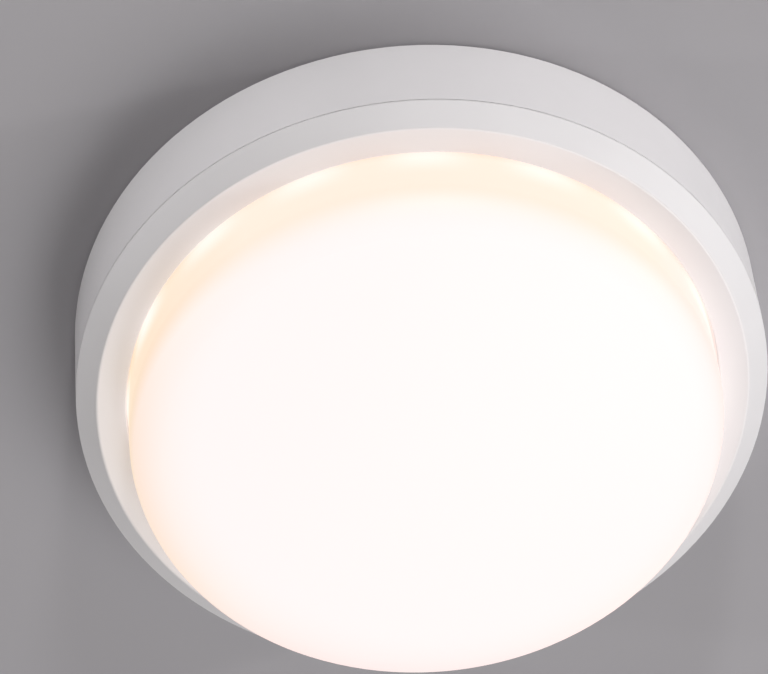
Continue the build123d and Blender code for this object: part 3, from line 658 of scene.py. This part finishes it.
# Diodes: a white cup with a dome of phosphor in it, with widths as shares of the half width
DIODE_HALF = 1.5
CUP_DEPTH = 0.32
CUP_EDGE = 0.08
CUP_RIM = 0.8
CUP_FLOOR = 0.7
DOME_LIFT = 0.01
DOME_FOOT = 0.66
DOME_SINK = 0.02
DOME_EDGE = 0.76
DOME_RISE = ((0.5, 0.6), (0.88, 0.36), (1.0, 0.12))
DIODE_WHITE = tone(240, 238, 232)
PHOSPHOR_YELLOW = tone(246, 206, 92)
PHOSPHOR_SHADE = (0.06, 0.4)
PHOSPHOR_LIGHT = (1.0, 0.72, 0.34, 1.0)
PHOSPHOR_FLICKER = (0.08, 0.8)
PHOSPHOR_STRENGTH = 0.9
PHOSPHOR_GRAIN = 0.15
PHOSPHOR_DEPTH = 0.004


def phosphor():
    """Silicone with yellow phosphor, lit from below."""
    shader = Shader("phosphor", Roughness=0.3)
    shader.set("Base Color", shader.shade_of(PHOSPHOR_YELLOW, *PHOSPHOR_SHADE))
    shader.set("Emission Color", shader.shade_of(PHOSPHOR_LIGHT, *PHOSPHOR_FLICKER))
    shader.fix("Emission Strength", PHOSPHOR_STRENGTH)
    shader.set("Normal", shader.bump(shader.noise(PHOSPHOR_GRAIN), PHOSPHOR_DEPTH))
    return shader.material


def diode_cup(form, x, z, low, high, turn):
    """A square cup with a round well."""
    form.loft(
        [
            loop_round(x, z, low, DIODE_HALF, square_reach, turn),
            loop_round(x, z, high - CUP_EDGE, DIODE_HALF, square_reach, turn),
            loop_round(x, z, high, DIODE_HALF - CUP_EDGE, square_reach, turn),
            loop_round(x, z, high, CUP_RIM * DIODE_HALF, turn=turn),
            loop_round(x, z, high - CUP_DEPTH, CUP_FLOOR * DIODE_HALF, turn=turn),
        ]
    )


def diode_dome(form, x, z, rim, top, turn):
    """The phosphor, from the well's floor to a dome above the cup's rim."""
    foot = rim - CUP_DEPTH + DOME_LIFT
    loops = [
        loop_round(x, z, foot, DOME_FOOT * DIODE_HALF, turn=turn),
        loop_round(x, z, rim - DOME_SINK, DOME_EDGE * DIODE_HALF, turn=turn),
    ]
    for rise, share in DOME_RISE:
        height = rim + rise * (top - rim)
        loops.append(loop_round(x, z, height, share * DIODE_HALF, turn=turn))
    form.loft(loops)


cups = Form()
domes = Form()
emitter_top = max(solid[4] for solid in solids_of("led_emitters"))
half_step = math.pi / DIODES
for x, z, _, low, high in solids_of("led_packages"):
    turn = round(math.atan2(z, x) / half_step) * half_step
    diode_cup(cups, x, z, low, high, turn)
    diode_dome(domes, x, z, high, emitter_top, turn)
cups.finish("diode_cups", "led_packages", moulded("diode_white", DIODE_WHITE, 0.35, 0.004, 0.3))
domes.finish("diode_domes", "led_emitters", phosphor())

# Connector on the LED board: a low housing with two release levers and a pin cap behind each
CONNECTOR = (-81.0, 46.5)
CONNECTOR_TURN = math.radians(150)
CONNECTOR_LOW = 36.6
CONNECTOR_HIGH = 39.2
CONNECTOR_SIZE = (7.0, 9.0)
CONNECTOR_BEVEL = 0.3
HOUSING_DROP = 0.35
LEVER_FOOT = 0.4
LEVER_BEVEL = 0.2
LEVER_OFFSET = 2.05
LEVER_PLACE = -0.7
LEVER_SIZE = (3.4, 2.9)
PIN_PLACE = 2.3
PIN_SIZE = (1.4, 1.6)
CORNERS = ((-1, -1), (1, -1), (1, 1), (-1, 1))
CONNECTOR_WHITE = tone(232, 230, 224)


def connector_corners(size, away, height, inwards):
    """The four corners of a plate on the connector, turned with it."""
    loop = []
    for side, end in CORNERS:
        along = away[0] + side * (size[0] / 2 - inwards)
        across = away[1] + end * (size[1] / 2 - inwards)
        x = CONNECTOR[0] + along * math.cos(CONNECTOR_TURN) - across * math.sin(CONNECTOR_TURN)
        z = CONNECTOR[1] + along * math.sin(CONNECTOR_TURN) + across * math.cos(CONNECTOR_TURN)
        loop.append((x, z, height))
    return loop


def connector_plate(form, size, low, high, bevel, away=(0.0, 0.0)):
    """A flat block with bevelled upper edges."""
    heights = ((low, 0.0), (high - bevel, 0.0), (high, bevel))
    form.loft([connector_corners(size, away, height, inwards) for height, inwards in heights])


levers = Form()
housing_top = CONNECTOR_HIGH - HOUSING_DROP
lever_foot = CONNECTOR_HIGH - LEVER_FOOT
connector_plate(levers, CONNECTOR_SIZE, CONNECTOR_LOW, housing_top, CONNECTOR_BEVEL)
for side in (-1, 1):
    for place, size in ((LEVER_PLACE, LEVER_SIZE), (PIN_PLACE, PIN_SIZE)):
        away = (place, side * LEVER_OFFSET)
        connector_plate(levers, size, lever_foot, CONNECTOR_HIGH, LEVER_BEVEL, away)
levers.finish("connector_levers", "board_connector", moulded("connector_white", CONNECTOR_WHITE, 0.35))

# Leads, round and smooth along the routes of their solids: x, z and height of each point in mm
MAINS_RADIUS = 1.2
THIN_RADIUS = 0.9
LIVE_ROUTE = (
    (11, -59, 14.4), (11, -70, 14.4), (30, -76, 12), (54, -73, 10), (67, -60, 9), (72, -34, 9),
    (73, 4, 9), (72, 36, 11), (69, 54, 16), (58, 65.5, 21.4), (35, 62.5, 22.4),
)
NEUTRAL_ROUTE = (
    (0, -59, 14.4), (0, -75, 14.4), (18, -83, 12), (48, -81, 9), (71, -67, 9), (78, -38, 9),
    (78.5, 0, 9), (77, 38, 11), (73, 60, 16), (60, 70.5, 21.4), (35, 66.5, 22.4),
)
EARTH_ROUTE = (
    (-11, -59, 14.4), (-11, -69, 14.4), (-19, -79, 14.1), (-29, -80, 13.1), (-39, -80, 13.1),
)
POSITIVE_ROUTE = (
    (-35, 66.5, 22.4), (-55, 67.5, 22.4), (-71, 63, 23), (-68.5, 42.4, 29),
    (-68.2, 42.2, 37.6), (-73.5, 44.48, 37.6), (-76.97, 46.48, 37.6),
)
NEGATIVE_ROUTE = (
    (-35, 62.5, 22.4), (-52, 64.5, 22.4), (-67, 60.5, 22), (-67.5, 38.4, 29),
    (-67.5, 38.4, 37.6), (-75.5, 41.02, 37.6), (-78.97, 43.02, 37.6),
)
EARTH_GREEN = tone(58, 138, 62)
EARTH_YELLOW = tone(226, 204, 46)
STRIPE_WAY = (1.0, 1.6, 0.6)
STRIPE_RATE = 1.6
STRIPE_EDGE = 0.1
STRIPE_GRAIN = 0.5
STRIPE_DEPTH = 0.006
ROUND_STEPS = 5
LENGTH_STEPS = 14


def insulation(name, red, green, blue):
    """Insulation of one colour."""
    return moulded(name + "_insulation", tone(red, green, blue))


def striped_insulation():
    """Green insulation with yellow in slanted bands."""
    shader = Shader("earth_insulation", Roughness=0.4)
    way = shader.vector("DOT_PRODUCT", shader.place, STRIPE_WAY)
    wave = shader.sums("SINE", shader.sums("MULTIPLY", way, STRIPE_RATE))
    band = shader.span(wave, -STRIPE_EDGE, STRIPE_EDGE)
    shader.set("Base Color", shader.blend(band, EARTH_GREEN, EARTH_YELLOW))
    shader.set("Normal", shader.bump(shader.noise(STRIPE_GRAIN), STRIPE_DEPTH))
    return shader.material


def lead(name, node, radius, route, material):
    """A round lead on one smooth curve, with the route's points as its control points."""
    data = bpy.data.curves.new(name, "CURVE")
    data.dimensions = "3D"
    data.bevel_depth = radius * MM
    data.bevel_resolution = ROUND_STEPS
    data.resolution_u = LENGTH_STEPS
    data.use_fill_caps = True
    spline = data.splines.new("NURBS")
    spline.points.add(len(route) - 1)
    for point, place in zip(spline.points, route):
        point.co = (*spot(*place), 1.0)
    spline.order_u = 3
    spline.use_endpoint_u = True
    data.materials.append(material)
    stands_for(bpy.data.objects.new(name, data), node)


brown = insulation("brown", 96, 52, 34)
blue = insulation("blue", 38, 92, 170)
green_and_yellow = striped_insulation()
red = insulation("red", 176, 24, 24)
black = insulation("black", 26, 26, 28)
lead("live_wire", "live_lead", MAINS_RADIUS, LIVE_ROUTE, brown)
lead("neutral_wire", "neutral_lead", MAINS_RADIUS, NEUTRAL_ROUTE, blue)
lead("earth_wire", "earth_lead", MAINS_RADIUS, EARTH_ROUTE, green_and_yellow)
lead("positive_wire", "led_lead_positive", THIN_RADIUS, POSITIVE_ROUTE, red)
lead("negative_wire", "led_lead_negative", THIN_RADIUS, NEGATIVE_ROUTE, black)

# Wall behind the light, in metres, open behind its footprint so that the back is lit too
WALL_TONE = tone(173, 170, 173)
WALL_SHADE = (0.004, 200.0)
WALL_RADII = (0.1385, 0.5, 1.6)
WALL_GAP = 0.0003
WALL_STEPS = 128


def wall_paint():
    """Matt paint, clear to the camera from behind."""
    shader = Shader("wall_paint", Roughness=0.95)
    shader.set("Base Color", shader.shade_of(WALL_TONE, *WALL_SHADE))
    shader.fix("Specular IOR Level", 0.0)
    add = shader.tree.nodes.new
    back = add("ShaderNodeNewGeometry").outputs["Backfacing"]
    seen = add("ShaderNodeLightPath").outputs["Is Camera Ray"]
    switch = add("ShaderNodeMixShader")
    shader.wire(switch, 0, shader.sums("MULTIPLY", back, seen))
    shader.wire(switch, 1, shader.surface.outputs[0])
    shader.wire(switch, 2, add("ShaderNodeBsdfTransparent").outputs[0])
    shader.wire(shader.tree.nodes["Material Output"], "Surface", switch.outputs[0])
    return shader.material


def wall_mesh():
    """A flat ring in the wall's plane."""
    mesh = bmesh.new()
    loops = []
    for radius in WALL_RADII:
        corners = []
        for step in range(WALL_STEPS):
            angle = 2 * math.pi * step / WALL_STEPS
            place = (radius * math.cos(angle), WALL_GAP, radius * math.sin(angle))
            corners.append(mesh.verts.new(place))
        loops.append(corners)
    for inner, outer in zip(loops, loops[1:]):
        for step in range(WALL_STEPS):
            after = (step + 1) % WALL_STEPS
            mesh.faces.new((inner[step], outer[step], outer[after], inner[after]))
    data = bpy.data.meshes.new("wall")
    mesh.to_mesh(data)
    mesh.free()
    data.materials.append(wall_paint())
    return data


wall = bpy.data.objects.new("wall", wall_mesh())
collection.objects.link(wall)

# World: the wall's grey where the camera sees it, a weak fill for the light
FILL = 0.03

world = bpy.data.worlds.new("world")
bpy.context.scene.world = world
world.use_nodes = True
sky = world.node_tree
fill = sky.nodes["Background"]
fill.inputs["Color"].default_value = WHITE
fill.inputs["Strength"].default_value = FILL
behind = sky.nodes.new("ShaderNodeBackground")
behind.inputs["Color"].default_value = WALL_TONE
choose = sky.nodes.new("ShaderNodeMixShader")
rays = sky.nodes.new("ShaderNodeLightPath")
sky.links.new(rays.outputs["Is Camera Ray"], choose.inputs[0])
sky.links.new(fill.outputs[0], choose.inputs[1])
sky.links.new(behind.outputs[0], choose.inputs[2])
sky.links.new(choose.outputs[0], sky.nodes["World Output"].inputs["Surface"])

# Lamps, in metres. Soft boxes stand in front and behind, and narrow strips graze the sides.
FRONT = (0.0, -0.03, 0.0)
SIDES = (0.0, -0.05, 0.0)
BACK = (0.0, 0.0, 0.0)


def lamp(name, position, target, size, level):
    """A soft box whose light at the target is level times that which shows a colour as written."""
    data = bpy.data.lights.new(name, "AREA")
    data.shape = "RECTANGLE"
    data.size, data.size_y = size
    away = Vector(position) - Vector(target)
    data.energy = level * math.pi**2 * away.length_squared
    light = bpy.data.objects.new(name, data)
    light.matrix_world = away.to_track_quat("Z", "Y").to_matrix().to_4x4()
    light.location = position
    light.visible_camera = False
    collection.objects.link(light)


lamp("key", (2.5, -4.2, -1.3), FRONT, size=(3.8, 3.8), level=0.66)
lamp("left_front", (-3.8, -3.2, 0.6), FRONT, size=(2.4, 2.4), level=0.08)
lamp("below_front", (0.3, -3.2, -3.8), FRONT, size=(2.4, 2.4), level=0.16)
lamp("left_strip", (-3.0, -0.16, 0.4), SIDES, size=(1.6, 0.2), level=0.33)
lamp("top_strip", (0.4, -0.2, 3.0), SIDES, size=(1.8, 0.2), level=0.86)
lamp("right_strip", (3.0, -0.2, 0.8), SIDES, size=(1.6, 0.2), level=0.52)
lamp("back_lamp", (-1.5, 3.0, 1.5), BACK, size=(2.5, 2.5), level=0.7)
